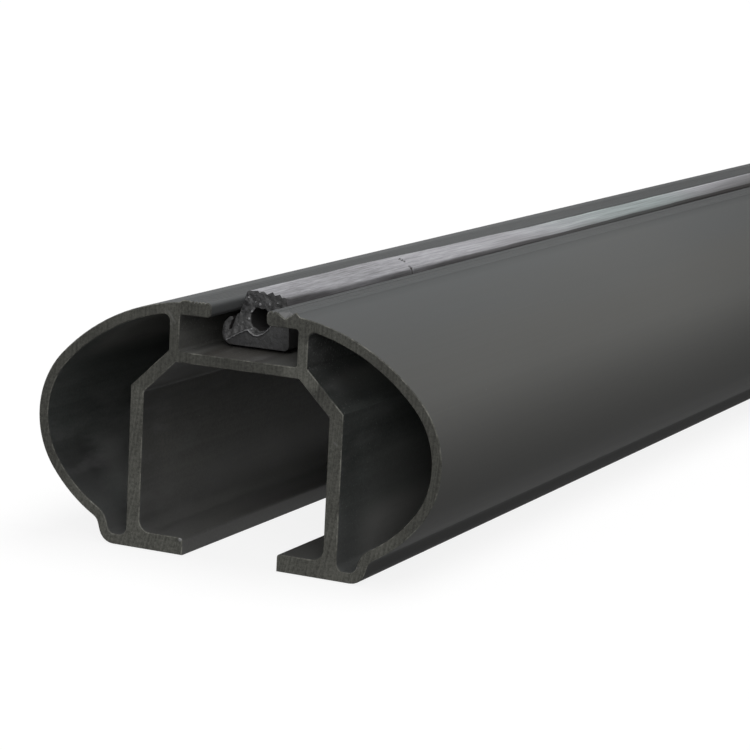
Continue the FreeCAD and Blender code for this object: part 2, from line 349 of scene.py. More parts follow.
def filled(outline, extra, grid):
    """The extra points and those of a staggered grid over the outline's box, where they aren't too near to others."""
    kept = [point for point in extra if min((point - end).length for end in outline) > grid * GRID_GAP]
    known = outline + kept
    low_x, high_x = min(p.x for p in known), max(p.x for p in known)
    low_z, high_z = min(p.y for p in known), max(p.y for p in known)
    for row in range(1, math.ceil((high_z - low_z) / grid)):
        for column in range(1, math.ceil((high_x - low_x) / grid)):
            point = spot(low_x + (column + 0.5 * (row % 2)) * grid, low_z + row * grid)
            if min((point - end).length for end in known) > grid * GRID_GAP:
                kept.append(point)
    return kept


class Skinned:
    """Collects the points and faces of one piece, with a finish for each face."""

    def __init__(self):
        self.points = []
        self.faces = []
        self.finishes = []

    def ring(self, loop, lengthwise):
        """Adds a closed loop of points, at one value along the bar or one for each point, and gives their numbers."""
        first = len(self.points)
        for index, point in enumerate(loop):
            y = lengthwise[index] if isinstance(lengthwise, list) else lengthwise
            self.points.append((point.x, y, point.y))
        return list(range(first, len(self.points)))

    def join(self, near, far, finish):
        """Adds a face for each pair of neighbours of two rings. finish is a number or a function of the pair."""
        for index in range(len(near)):
            follow = (index + 1) % len(near)
            face = (near[index], far[index], far[follow], near[follow])
            kind = finish if isinstance(finish, int) else finish(self.points[near[index]], self.points[near[follow]])
            self.faces.append(face)
            self.finishes.append(kind)

    def cap(self, rings, finish, facing_near, grid=0.0, relief=None, extra=()):
        """Closes the end inside the first ring and outside the others. finish is a number or a function of x and z."""
        numbers = [number for ring in rings for number in ring]
        flat = [spot(self.points[number][0], self.points[number][2]) for number in numbers]
        edges, start = [], 0
        for ring in rings:
            edges += [(start + index, start + (index + 1) % len(ring)) for index in range(len(ring))]
            start += len(ring)
        y = self.points[numbers[0]][1]
        if grid:
            flat += filled(flat, extra, grid)
        bounds = [(flat[first], flat[last]) for first, last in edges]
        points, _, faces, origin, _, _ = geometry.delaunay_2d_cdt(flat, edges, [], 0, SAME_PLACE, True)
        faces = [face for face in faces if inside(sum((points[index] for index in face), spot(0, 0)) / 3, bounds)]
        lookup = []
        for point, sources in zip(points, origin):
            if sources and sources[0] < start:
                lookup.append(numbers[sources[0]])
            else:
                lookup.append(len(self.points))
                self.points.append((point.x, relief(point.x, point.y) if relief else y, point.y))
        for face in faces:
            corners = [lookup[index] for index in face]
            a, b, c = (self.points[number] for number in corners[:3])
            faces_far = (b[0] - a[0]) * (c[2] - a[2]) - (b[2] - a[2]) * (c[0] - a[0]) < 0
            if faces_far == facing_near:
                corners.reverse()
            self.faces.append(tuple(corners))
            middle = sum((Vector(self.points[number]) for number in corners), Vector((0, 0, 0))) / len(corners)
            self.finishes.append(finish if isinstance(finish, int) else finish(middle.x, middle.z))

    def piece(self, name, materials, sharp_degrees):
        """Makes the object, in metres."""
        used = sorted({number for face in self.faces for number in face})
        place = {number: index for index, number in enumerate(used)}
        mesh = bpy.data.meshes.new(name)
        mesh.from_pydata(
            [Vector(self.points[number]) * MILLIMETRE for number in used], [],
            [[place[number] for number in face] for face in self.faces],
        )
        for material in materials:
            mesh.materials.append(material)
        mesh.polygons.foreach_set("material_index", self.finishes)
        mesh.polygons.foreach_set("use_smooth", [True] * len(self.faces))
        mesh.validate()
        mesh.set_sharp_from_angle(angle=math.radians(sharp_degrees))
        made = bpy.data.objects.new(name, mesh)
        bpy.context.scene.collection.objects.link(made)
        return made


# Finishes

class Level:
    """A value in a material, on which arithmetic adds Math nodes."""

    def __init__(self, finish, socket):
        self.finish = finish
        self.socket = socket

    def math(self, operation, other=0.0, turned=False):
        first, second = (other, self) if turned else (self, other)
        return self.finish.node("ShaderNodeMath", {"operation": operation}, {0: first, 1: second})

    def __add__(self, other):
        return self.math("ADD", other)

    def __radd__(self, other):
        return self.math("ADD", other, True)

    def __sub__(self, other):
        return self.math("SUBTRACT", other)

    def __rsub__(self, other):
        return self.math("SUBTRACT", other, True)

    def __mul__(self, other):
        return self.math("MULTIPLY", other)

    def __rmul__(self, other):
        return self.math("MULTIPLY", other, True)

    def above(self, low, high):
        """0 below low, 1 above high and a smooth step between them."""
        return self.finish.node(
            "ShaderNodeMapRange", {"interpolation_type": "SMOOTHSTEP"},
            {"Value": self, "From Min": low, "From Max": high},
        )

    def below(self, low, high):
        """1 below low, 0 above high and a smooth step between them."""
        return 1.0 - self.above(low, high)


# Noise patterns: how much of the length counts, waves for each millimetre, detail and roughness
PATTERNS = {
    "die_lines": (0.004, 2.4, 3.0, 0.5),
    "anodising_clouds": (0.25, 0.03, 2.0, 0.5),
    "anodising_speckle": (1.0, 6.0, 2.0, 0.5),
    "anodising_hue": (0.12, 0.06, 2.0, 0.5),
    "handling_marks": (0.35, 0.55, 4.0, 0.6),
    "streaks": (0.015, 1.3, 3.0, 0.5),
    "hollow_clouds": (0.12, 0.12, 3.0, 0.5),
    "hollow_speckle": (1.0, 2.2, 3.0, 0.6),
    "dust": (0.3, 0.22, 4.0, 0.6),
    "dust_flecks": (1.0, 2.4, 2.0, 0.5),
    "sawn_grain": (1.0, 1.7, 4.0, 0.7),
    "sawn_clouds": (1.0, 0.16, 3.0, 0.5),
    "sawn_glints": (1.0, 3.6, 3.0, 0.5),
    "edge_wear": (1.0, 0.3, 3.0, 0.5),
    "drag_lines": (0.014, 2.6, 4.0, 0.65),
    # Clouds and marks of the painted sheen on the strip's crown
    "painted_sheen_clouds": (0.2, 0.12, 3.0, 0.5),
    "painted_sheen_marks": (0.07, 2.8, 3.0, 0.65),
    "rubber_grit": (1.0, 4.0, 3.0, 0.5),
    "torn_grain": (1.0, 2.6, 4.0, 0.65),
    "torn_painted_glints": (1.0, 2.1, 3.0, 0.6),
}

# How much of a round patch's radius, a scratch's width and a scratch's half length is at full strength
PATCH_CORE = 0.3
SCRATCH_CORE = 0.3
SCRATCH_LENGTH_CORE = 0.5


class Finish:
    """A material, built up from nodes."""

    def __init__(self, material):
        material.use_nodes = True
        self.material = material
        self.tree = material.node_tree
        self.tree.nodes.clear()
        self.ways = {}

    def node(self, kind, settings=None, values=None, output=0):
        """Adds a node: its settings first, then the values or links of its sockets."""
        added = self.tree.nodes.new(kind)
        for name, setting in (settings or {}).items():
            setattr(added, name, setting)
        for name, value in (values or {}).items():
            if isinstance(value, Level):
                self.tree.links.new(value.socket, added.inputs[name])
            else:
                added.inputs[name].default_value = value
        return Level(self, added.outputs[output]) if added.outputs else None

    def place(self, along=1.0):
        """Where a point of the piece is, in millimetres, its length times a factor."""
        position = self.node("ShaderNodeTexCoord", output="Object")
        factors = [factor / MILLIMETRE for factor in (1.0, along, 1.0)]
        return self.vector("MULTIPLY", position, factors, 0)

    def vector(self, operation, first, second, output):
        """Works on two vectors."""
        return self.node("ShaderNodeVectorMath", {"operation": operation}, {0: first, 1: second}, output)

    def find_ways(self):
        """Keeps the ways in which zones are measured: x, y, z, and across, which is x without its sign."""
        place = self.place()
        for output, way in enumerate("xyz"):
            self.ways[way] = self.node("ShaderNodeSeparateXYZ", None, {0: place}, output)
        self.ways["across"] = self.ways["x"].math("ABSOLUTE")

    def zone(self, limits):
        """1 inside all of the limits, each a way, where the zone has faded out along it and where it is full."""
        share = 1.0
        for way, faded, full in limits:
            value = self.ways[way]
            share = share * (value.above(faded, full) if faded < full else value.below(full, faded))
        return share

    def zones(self, table, base=0.0):
        """The base and the zones of a table's rows, each an amount and the limits of its zone."""
        for amount, *limits in table:
            base = base + self.zone(limits) * amount
        return base

    def patch(self, x, z, radius):
        """1 at a place of the section, fading to 0 at a radius from it."""
        away = self.vector("DISTANCE", self.place(0.0), (x, 0.0, z), "Value")
        return away.below(radius * PATCH_CORE, radius)

    def scratch(self, start, end, width):
        """1 on a straight scratch from start to end on the section."""
        middle = (start + end) / 2
        along = (end - start).normalized()
        half = (end - start).length / 2
        from_middle = self.vector("SUBTRACT", self.place(0.0), (middle.x, 0.0, middle.y), 0)
        reach = self.vector("DOT_PRODUCT", from_middle, (along.x, 0.0, along.y), "Value").math("ABSOLUTE")
        off = self.vector("DOT_PRODUCT", from_middle, (-along.y, 0.0, along.x), "Value").math("ABSOLUTE")
        return off.below(width * SCRATCH_CORE, width) * reach.below(half * SCRATCH_LENGTH_CORE, half)

    def grain(self, pattern):
        """A noise value about 0.5, in one of the patterns."""
        along, scale, detail, roughness = PATTERNS[pattern]
        values = {"Vector": self.place(along), "Scale": scale, "Detail": detail, "Roughness": roughness}
        return self.node("ShaderNodeTexNoise", None, values, "Fac")

    def mix(self, share, first, second):
        """Goes from one colour to another."""
        return self.node("ShaderNodeMix", {"data_type": "RGBA"}, {0: share, 6: first, 7: second}, 2)

    def bump(self, height, distance):
        """A normal bent by height, in millimetres."""
        values = {"Strength": 1.0, "Distance": distance * MILLIMETRE, "Height": height}
        return self.node("ShaderNodeBump", None, values)

    def surface(self, values):
        """Ends the material in one surface shader."""
        shader = self.node("ShaderNodeBsdfPrincipled", None, values)
        self.node("ShaderNodeOutputMaterial", None, {"Surface": shader})


def measured(name):
    """A new finish whose zones can be measured."""
    finish = Finish(bpy.data.materials.new(name))
    finish.find_ways()
    return finish


def grey(level, red=1.0, green=1.0, blue=1.0):
    """A colour near grey."""
    return (level * red, level * green, level * blue, 1.0)


# Tints of the greys, as factors of red, green and blue
COOL = (0.965, 1.0, 1.01)
WARM = (1.0, 1.0, 0.96)
CHANNEL_TINT = (1.0, 1.0, 0.92)
CHAMBER_TINT = (0.93, 1.01, 0.96)
STAIN_AND_SHADOW_TINT = (1.06, 1.0, 0.9)
LIT_TINT = (1.0, 1.0, 0.95)
SAWN_TINT = (1.0, 1.0, 0.88)
RUBBER_TINT = (1.03, 1.0, 1.0)
# Tints of the strip's painted sheen
SHEEN_TINT = (0.99, 0.985, 1.04)
GREEN_SHEEN_TINT = (0.88, 1.04, 1.02)
# Tint of the painted shade on the strip's flank
FLANK_SHADE_TINT = (1.15, 1.0, 0.95)
TORN_TINT = (1.0, 1.0, 1.04)

# In the tables of zones below, a row is an amount and then the zone's limits: a way, where the zone
# has faded out along it and where it is full, in millimetres. The near end is at y = -600.

# Painted shade on the bar's outside
OUTSIDE_PAINTED_SHADE = (
    # Darker away from the near end, and painted shade lower down the sides
    (0.3, ("y", -480.0, -330.0)),
    (0.2, ("z", 36.0, 24.0)),
    (0.42, ("z", 20.0, 6.0)),
    # Painted shade beside the grip grooves, and in the slot's mouth
    (0.15, ("across", 9.9, 10.2), ("across", 12.0, 11.2)),
    (0.32, ("across", 6.7, 6.2), ("z", 46.85, 46.3)),
)
OUTSIDE_PAINTED_SHADE_BASE = 0.04
# Painted light: the grip grooves' floors are painted paler against the shade in them
GROOVE_FLOORS_PAINTED_LIGHT = (("z", 47.0, 46.8), ("across", 6.5, 6.8), ("across", 10.8, 10.5))


def satin_anodised():
    """The bar's outside: dark satin anodising with faint die lines and handling marks, painted shade low on the sides
    and in the slot's mouth, and painted light on the grip grooves' floors.
    """
    finish = measured("satin_anodised_outside")
    die_lines = finish.grain("die_lines")
    speckle = finish.grain("anodising_speckle")
    marks = finish.grain("handling_marks").above(0.72, 0.78)
    tone = (die_lines * 0.35 + finish.grain("anodising_clouds") * 0.4 + speckle * 0.25).above(0.25, 0.75)
    warm = (finish.ways["x"] * 0.05 + finish.grain("anodising_hue") * 1.6).above(1.2, 2.6)
    cool_side, warm_side = (finish.mix(tone, grey(0.088, *tint), grey(0.1, *tint)) for tint in (COOL, WARM))
    base = finish.mix(warm, cool_side, warm_side)
    # Painted shade: darker low on the sides, beside the grip grooves, in the slot's mouth and away from the near end
    base = finish.mix(finish.zones(OUTSIDE_PAINTED_SHADE, OUTSIDE_PAINTED_SHADE_BASE), base, grey(0.012))
    # Paler handling marks, and painted light on the grip grooves' floors
    finish.surface({
        "Base Color": finish.mix(marks * 0.35 + finish.zone(GROOVE_FLOORS_PAINTED_LIGHT) * 0.7, base, grey(0.17)),
        "Specular IOR Level": 0.05,
        "Roughness": die_lines * 0.08 + speckle * 0.06 + 0.6,
        "Normal": finish.bump(speckle * 0.6 + die_lines * 0.4, 0.012),
    })
    return finish.material


# The way over_brace grows outwards and upwards across the slanted braces, and the way inwards grows
# along the bar and is ahead low down
BRACE_SLOPE = 1.03
LOW_LEAD = 3.0
LOW_TO_HIGH = (9.0, 12.0)
OVER_BRACES = (("over_brace", 50.3, 51.5), ("across", 12.6, 13.4))
BEYOND_WEBS = (20.0, 21.0)

RIGHT_WEB = (("y", -596.0, -582.0), ("x", 20.0, 21.0), ("x", 25.0, 23.0))
LEFT_SHELL = (("x", -22.0, -24.0), ("z", 20.0, 12.0))
CHANNEL_LEFT_WALL = (("x", -17.0, -18.5), ("x", -20.0, -19.5))
SLOT_ENTRY = (("z", 36.5, 37.5), ("y", -585.0, -594.0))

# The slot's floor under the strip: a brownish stain, with the strip's shadow painted in
STAIN_AND_PAINTED_STRIP_SHADOW = (("z", 36.0, 37.2), ("across", 9.5, 6.5), ("x", 6.0, 3.5))
HOLLOWS_DUSTED = (
    # Just inside the slot, and the right-hand chamber
    (0.1, ("z", 37.0, 37.4), ("y", -570.0, -588.0)),
    (0.09, ("x", 13.5, 14.5), ("x", 28.0, 24.0), ("y", -570.0, -588.0)),
)
# Painted light in the hollows
HOLLOWS_PAINTED_LIGHT = (
    # The chambers' roofs, left and right
    (1.1, ("z", 31.0, 37.0), ("across", 15.0, 17.0), ("y", -599.0, -588.0), ("x", 1.0, 0.0)),
    (0.5, ("z", 31.0, 37.0), ("across", 15.0, 17.0), ("y", -599.0, -588.0), ("x", 0.0, 1.0)),
    # The left-hand chamber's pocket and shell
    (0.3, ("z", 6.0, 3.0), ("across", 21.0, 22.0), ("x", 1.0, 0.0)),
    (0.3, *LEFT_SHELL, ("inwards", -588.0, -582.0), ("z", 4.0, 8.0)),
    # The right-hand web, low down and up to half its height
    (0.7, *RIGHT_WEB, ("z", 14.0, 8.0)),
    (0.2, *RIGHT_WEB, ("z", 24.0, 20.0)),
    # Low in the channel
    (0.3, ("across", 19.5, 18.9), ("y", -585.0, -562.0), ("z", 16.0, 9.0)),
    # The slot's sides, and its floor at the right of the strip
    (0.2, *SLOT_ENTRY, ("z", 43.0, 40.0), ("across", 7.5, 9.5)),
    (0.2, *SLOT_ENTRY, ("x", 4.5, 6.5), ("x", 9.5, 7.5)),
)
# Painted shade in the hollows
HOLLOWS_PAINTED_SHADE = (
    # The left-hand chamber's outermost curve, and its shell near the cut
    (0.35, ("x", -26.0, -34.0), ("z", 5.5, 9.0), ("z", 27.0, 20.0)),
    (0.38, *LEFT_SHELL, ("inwards", -586.0, -591.0)),
    (0.26, *LEFT_SHELL, ("z", *LOW_TO_HIGH), ("y", -594.0, -591.0), ("y", -584.5, -588.0)),
    # The right-hand chamber near the cut, and the top of its brace
    (0.35, ("x", *BEYOND_WEBS), ("y", -590.0, -597.0), ("z", 14.0, 18.0)),
    (0.55, *OVER_BRACES, ("x", 0.0, 1.0), ("across", *BEYOND_WEBS[::-1]), ("y", -576.0, -592.0)),
    # The channel's left-hand wall, high up and near the cut
    (0.4, *CHANNEL_LEFT_WALL, ("z", 20.0, 27.0), ("z", 31.0, 29.0)),
    (0.12, *CHANNEL_LEFT_WALL, ("y", -578.0, -592.0)),
    (0.3, *CHANNEL_LEFT_WALL, ("y", -590.0, -598.0)),
    # Just inside the slot, and its left-hand wall
    (0.12, *SLOT_ENTRY),
    (0.6, ("z", 37.4, 38.5), ("x", -11.5, -12.5), ("x", -13.0, -12.6), ("y", -594.0, -585.0)),
)
# Painted shade under the left-hand brace, near the cut
SHADE_UNDER_LEFT_BRACE = (("z", 29.0, 30.5), ("z", 36.2, 35.6), ("x", -12.0, -13.0), ("y", -565.0, -585.0))


def dull_inside():
    """The hollows: the same anodising over the die's plain finish, with painted light and shade near the cut, dust,
    painted light low down, and a stain with the strip's painted shadow under the strip.
    """
    finish = measured("dull_anodised_inside")
    ways = finish.ways
    ways["over_brace"] = ways["across"] + ways["z"] * BRACE_SLOPE
    ways["inwards"] = ways["y"] + ways["z"].below(*LOW_TO_HIGH) * LOW_LEAD
    streaks = finish.grain("streaks")
    dust = finish.grain("dust").above(0.45, 0.8)
    fleck = (finish.grain("dust_flecks") + finish.zones(HOLLOWS_DUSTED)).above(0.74, 0.8)
    tone = (
        streaks.above(0.25, 0.75) * 0.3
        + finish.grain("hollow_clouds").above(0.3, 0.7) * 0.35
        + finish.grain("hollow_speckle").above(0.35, 0.65) * 0.35
    )
    chamber = ways["across"].above(*BEYOND_WEBS).math("MAXIMUM", finish.zone(OVER_BRACES))
    dark, pale = (
        finish.mix(chamber, grey(level, *CHANNEL_TINT), grey(level, *CHAMBER_TINT)) for level in (0.056, 0.112)
    )
    base = finish.mix(tone, dark, pale)
    # A brownish stain on the slot's floor, with the strip's painted shadow
    base = finish.mix(finish.zone(STAIN_AND_PAINTED_STRIP_SHADOW), base, grey(0.034, *STAIN_AND_SHADOW_TINT))
    # Painted light in the hollows, then painted shade, with more shade under the left-hand brace
    base = finish.mix(finish.zones(HOLLOWS_PAINTED_LIGHT), base, grey(0.25, *LIT_TINT))
    shade_under_brace = finish.zone(SHADE_UNDER_LEFT_BRACE) * (1.0 - chamber) * 0.6
    base = finish.mix(finish.zones(HOLLOWS_PAINTED_SHADE, shade_under_brace), base, grey(0.02))
    # Dust patches, and paler low down: painted light bouncing from the floor
    base = finish.mix(dust * 0.4 + ways["z"].below(3.0, 20.0) * 0.35, base, grey(0.15))
    finish.surface({
        "Base Color": finish.mix(fleck * 0.5, base, grey(0.22)),
        "Specular IOR Level": 0.16,
        "Roughness": streaks * 0.12 + dust * 0.1 + 0.45,
        "Normal": finish.bump(streaks * 0.7 + fleck * 0.3, 0.02),
    })
    return finish.material


# Scratches of the sawn face: X and Z of both ends
SCRATCHES = (
    (-15.4, 44.8, -13.2, 41.6), (-14.8, 45.2, -12.6, 42.4), (19.8, 25.2, 21.0, 24.3), (24.0, 2.6, 26.6, 3.3),
)
SCRATCH_WIDTH = 0.28
SCRATCH_STRENGTH = 0.22

# Round places of the sawn face: X, Z, radius and how much paler, or duller below 0
PATCHES = (
    # Slot, ceiling and lands
    (13.4, 37.6, 3.6, 0.95), (14.6, 35.0, 2.6, 0.8), (13.0, 40.4, 2.4, 0.65), (10.8, 36.4, 2.4, 0.5),
    (13.0, 40.0, 2.0, 0.15), (-1.5, 36.5, 9.0, -0.08), (-14.2, 44.6, 3.0, 0.25), (-9.0, 45.4, 3.0, -0.06),
    (8.2, 44.6, 2.0, -0.25), (21.0, 43.0, 6.0, 0.12), (-21.0, 43.0, 6.0, 0.1),
    # Braces and webs
    (16.6, 33.4, 1.8, -0.2), (-20.2, 28.0, 3.0, 0.25), (-20.2, 10.0, 4.5, 0.22),
    (20.2, 10.0, 3.5, 0.2), (20.2, 17.0, 11.0, -0.1),
    # Shell and feet
    (-31.5, 8.2, 5.0, 0.32), (31.0, 8.0, 4.0, 0.35), (20.6, 4.6, 4.0, -0.12), (16.0, 1.6, 4.0, -0.2),
    (-22.5, 1.4, 6.0, 0.38), (-10.5, 1.6, 2.0, 0.15), (-11.0, 1.6, 4.0, 0.15),
)
SAWN_PALER = (
    # The lower webs, the feet and the top
    (0.3, ("z", 36.0, 24.0), ("across", 33.0, 24.0)),
    (0.2, ("z", 9.0, 2.0)),
    (0.05, ("z", 38.0, 43.0)),
)
SAWN_BASE = 0.89

# The middle of the saw blade, about which its scores run, and a bright nick in the left-hand foot
SAW_ARBOR = (-168.0, 0.0, 42.0)
FOOT_NICK = (-10.15, 2.9, 0.5)


def sawn_metal(name, level, light, worn=0.0):
    """A sawn face: the blade's fine scores, painted glints, scratches, and places that are paler, duller or worn."""
    finish = measured(name)
    rough = finish.grain("sawn_grain")
    from_arbor = finish.vector("DISTANCE", finish.place(0.0), SAW_ARBOR, "Value")
    scores = finish.node(
        "ShaderNodeTexNoise", {"noise_dimensions": "1D"},
        {"W": from_arbor + rough * 0.8, "Scale": 2.4, "Detail": 3.0, "Roughness": 0.6}, "Fac",
    )
    tone = (scores * 0.25 + rough * 0.55 + finish.grain("sawn_clouds") * 0.2).above(0.37, 0.63)
    share = finish.zones(SAWN_PALER, SAWN_BASE)
    for *round_place, more in PATCHES:
        share = share + finish.patch(*round_place) * more
    if worn:
        share = share + (finish.grain("edge_wear").above(0.42, 0.62) - 0.5) * worn
    dark, pale = (
        finish.mix(share - 0.5, grey(level * low, *SAWN_TINT), grey(level * high, *SAWN_TINT))
        for low, high in ((0.26, 0.82), (0.66, 1.92))
    )
    # Painted glints on the sawn grain, with the foot's bright nick and the scratches
    marks = finish.grain("sawn_glints").above(0.66, 0.74) * 0.55 + finish.patch(*FOOT_NICK) * 0.9
    for x0, z0, x1, z1 in SCRATCHES:
        marks = marks + finish.scratch(spot(x0, z0), spot(x1, z1), SCRATCH_WIDTH) * SCRATCH_STRENGTH
    finish.surface({
        "Base Color": finish.mix(marks.math("MINIMUM", 1.0), finish.mix(tone, dark, pale), grey(light)),
        "Specular IOR Level": 0.16,
        "Roughness": rough * 0.15 + 0.5,
        "Normal": finish.bump(scores * 0.4 + rough * 0.6, 0.06),
    })
    return finish.material


# Where the painted sheen, the crown's grazing reflection, is stronger, or weaker below 0: a stretch from about 55 to
# 210 mm in, the left of the near end and all of it, the crown's left-hand edge, and the far part
SHEEN_STRONGER = (
    (0.24, ("y", -545.0, -500.0), ("y", -390.0, -460.0)),
    (0.4, ("x", -3.0, -3.9), ("y", -560.0, -575.0)),
    (0.12, ("y", -560.0, -575.0)),
    (0.45, ("x", -2.6, -4.3), ("y", -480.0, -410.0)),
    (-0.45, ("y", -352.0, -312.0)),
)
SHEEN_BASE = 1.04
SHEEN_LOWEST = (44.6, 45.8)

# Where the painted sheen is weaker: the right of the crown in two steps, and its middle
SHEEN_WEAKER = (
    (0.7, ("x", 0.6, 4.0), ("y", -530.0, -430.0)),
    (0.35, ("x", 0.6, 4.0), ("y", -400.0, -340.0)),
    (0.5, ("x", -4.5, 2.0), ("y", -410.0, -320.0)),
)

# How much further in, in millimetres, the painted shade of the right flank begins along the bar
FLANK_SHADE_WIDER = (
    (0.9, ("y", -500.0, -430.0)),
    (0.7, ("y", -445.0, -400.0)),
    (-0.4, ("y", -585.0, -560.0)),
)
FLANK_SHADE_BASE = 0.5
FLANK_SHADE_EDGE = (3.4, 4.1)
FLANK_SHADE_LOWEST = (43.4, 44.4)

GREENISH = (("y", -480.0, -400.0), ("y", -340.0, -385.0))
MARKED = (("y", -470.0, -530.0),)

# The crack and the nick beside it cross the crown on a slant, so far from the near end in the middle
CRACK_PLACE = 69.0
# Painted shade in the crack and the nick: where along X it lies, and its width
CRACK_SHADE_LENGTH = ((0.9, ("x", -2.6, -1.9), ("x", 0.8, 0.2)), (0.9, ("x", 2.2, 2.8)))
CRACK_SHADE_WIDTH = (0.3, 0.7)


def rubber(name, level, light, smooth):
    """The strip's rubber: dark, with a pale painted sheen that fades along it, painted shade on the right flank and in
    the crack, and drag lines.
    """
    finish = measured(name)
    x, y, z = (finish.ways[way] for way in "xyz")
    drag = finish.grain("drag_lines")
    clouds = finish.grain("painted_sheen_clouds")
    # Painted shade on the strip's right flank, which faces down into the gap
    flank = (x + finish.zones(FLANK_SHADE_WIDER, FLANK_SHADE_BASE)).above(*FLANK_SHADE_EDGE)
    # Painted sheen: the crown's grazing reflection, as a pale colour on the top, stronger near the end
    kept = (1.0 - finish.zones(SHEEN_WEAKER)).math("MAXIMUM", 0.0)
    sheen_strength = finish.zones(SHEEN_STRONGER, SHEEN_BASE) * kept * z.above(*SHEEN_LOWEST)
    marks = (finish.grain("painted_sheen_marks") - 0.5) * finish.zone(MARKED)
    painted_sheen = (drag * 0.6 + clouds * 0.4).above(0.34, 0.68) * 0.42 + marks * 0.9 + 0.42
    # Painted shade along the crack and the nick
    off_crack = (x + y + (BAR_LENGTH / 2 - CRACK_PLACE)).math("ABSOLUTE")
    crack_shade = off_crack.below(*CRACK_SHADE_WIDTH) * finish.zones(CRACK_SHADE_LENGTH)
    pale = finish.mix(finish.zone(GREENISH) * 0.8, grey(light, *SHEEN_TINT), grey(light, *GREEN_SHEEN_TINT))
    colour = finish.mix(painted_sheen * sheen_strength, grey(level, *RUBBER_TINT), pale)
    # Painted shade on the right flank and in the crack
    dull = (flank * z.above(*FLANK_SHADE_LOWEST) * 0.82).math("MAXIMUM", crack_shade)
    finish.surface({
        "Base Color": finish.mix(dull, colour, grey(0.012, *FLANK_SHADE_TINT)),
        "Specular IOR Level": 0.12,
        "Roughness": drag * 0.14 + clouds * 0.08 + flank * 0.2 + smooth,
        "Normal": finish.bump(drag * 0.7 + finish.grain("rubber_grit") * 0.3, 0.03),
    })
    return finish.material


# The scuffed place beside the fin, and the painted shade at the upper and lower right of the torn end
SCUFFED = (("x", -8.6, -7.0), ("x", -2.2, -3.6), ("z", 44.6, 42.8))
TORN_PAINTED_SHADE = (
    (0.6, ("x", -0.6, 1.0), ("z", 44.2, 45.2)),
    (0.55, ("x", 2.6, 4.2), ("z", 44.5, 43.5)),
)


def torn_rubber(name, dark, light, relief, scuff=0.0):
    """The strip's torn end: rough, with pale flecks painted as glints, scuffed paler beside the fin and with painted
    shade at its right.
    """
    finish = measured(name)
    rough = finish.grain("torn_grain")
    # Pale flecks: painted glints on the torn rubber
    fleck = finish.grain("torn_painted_glints").above(0.64, 0.72)
    base = finish.mix(rough.above(0.3, 0.7), grey(dark), grey(light, *TORN_TINT))
    base = finish.mix(finish.zone(SCUFFED) * scuff, base, grey(light * 2.2))
    # Painted shade at the upper and lower right of the torn end
    base = finish.mix(finish.zones(TORN_PAINTED_SHADE), base, grey(dark * 0.4))
    finish.surface({
        "Base Color": finish.mix(fleck * 0.7, base, grey(light * 3.2)),
        "Specular IOR Level": 0.5,
        "Roughness": rough * 0.2 + 0.35,
        "Normal": finish.bump(rough, relief),
    })
    return finish.material


# The bar

OUTSIDE, INSIDE, SAWN, SAWN_EDGE = range(4)
EDGE_WIDTH = 0.16
EDGE_WOBBLE = 0.08
CHIP_WOBBLE = 0.12
BAR_SHARP_DEGREES = 28
NEAR_STEPS = (0.4, 0.8, 1.2, 1.6, 2.0, 6.0, 20.0, 50.0)
LONG_STEP = 75.0


def chipped(point, from_near):
    """The point with the chip and its burr in the right-hand land near the saw cut."""
    x, z = point
    if x < SLOT_MOUTH / 2 + LIP_NOSE_RADIUS or x > shoulder.x + 1 or z < BAR_HEIGHT - CHIP_DEPTH:
        return point
    share = abs(x - SLOT_MOUTH / 2 - CHIP_OFFSET) / (CHIP_WIDTH / 2)
    floor = BAR_HEIGHT - CHIP_DEPTH * (1 - share - from_near / CHIP_RUN)
    floor += CHIP_WOBBLE * wobble(x, from_near, 0.0, 0.6, 3.1)
    if share < 1 and floor < z:
        return spot(x, floor)
    bump = max(0.0, 1 - abs(x - SLOT_MOUTH / 2 - BURR_OFFSET) / (BURR_WIDTH / 2))
    return spot(x, z + BURR_HEIGHT * bump * max(0.0, 1 - from_near / BURR_RUN))


def in_hollow(near, follow):
    """The finish of a face of the outline, which is dull inside the slot and the channel."""
    x, z = abs(near[0] + follow[0]) / 2, (near[2] + follow[2]) / 2
    in_channel = x < CHANNEL_WIDTH / 2 + 0.1 and 0.5 < z < ceiling + 0.1
    in_slot = slot_floor - 0.1 < z < lip_underside + 0.1 and x < SLOT_WIDTH / 2 + 0.1
    return INSIDE if in_channel or in_slot else OUTSIDE


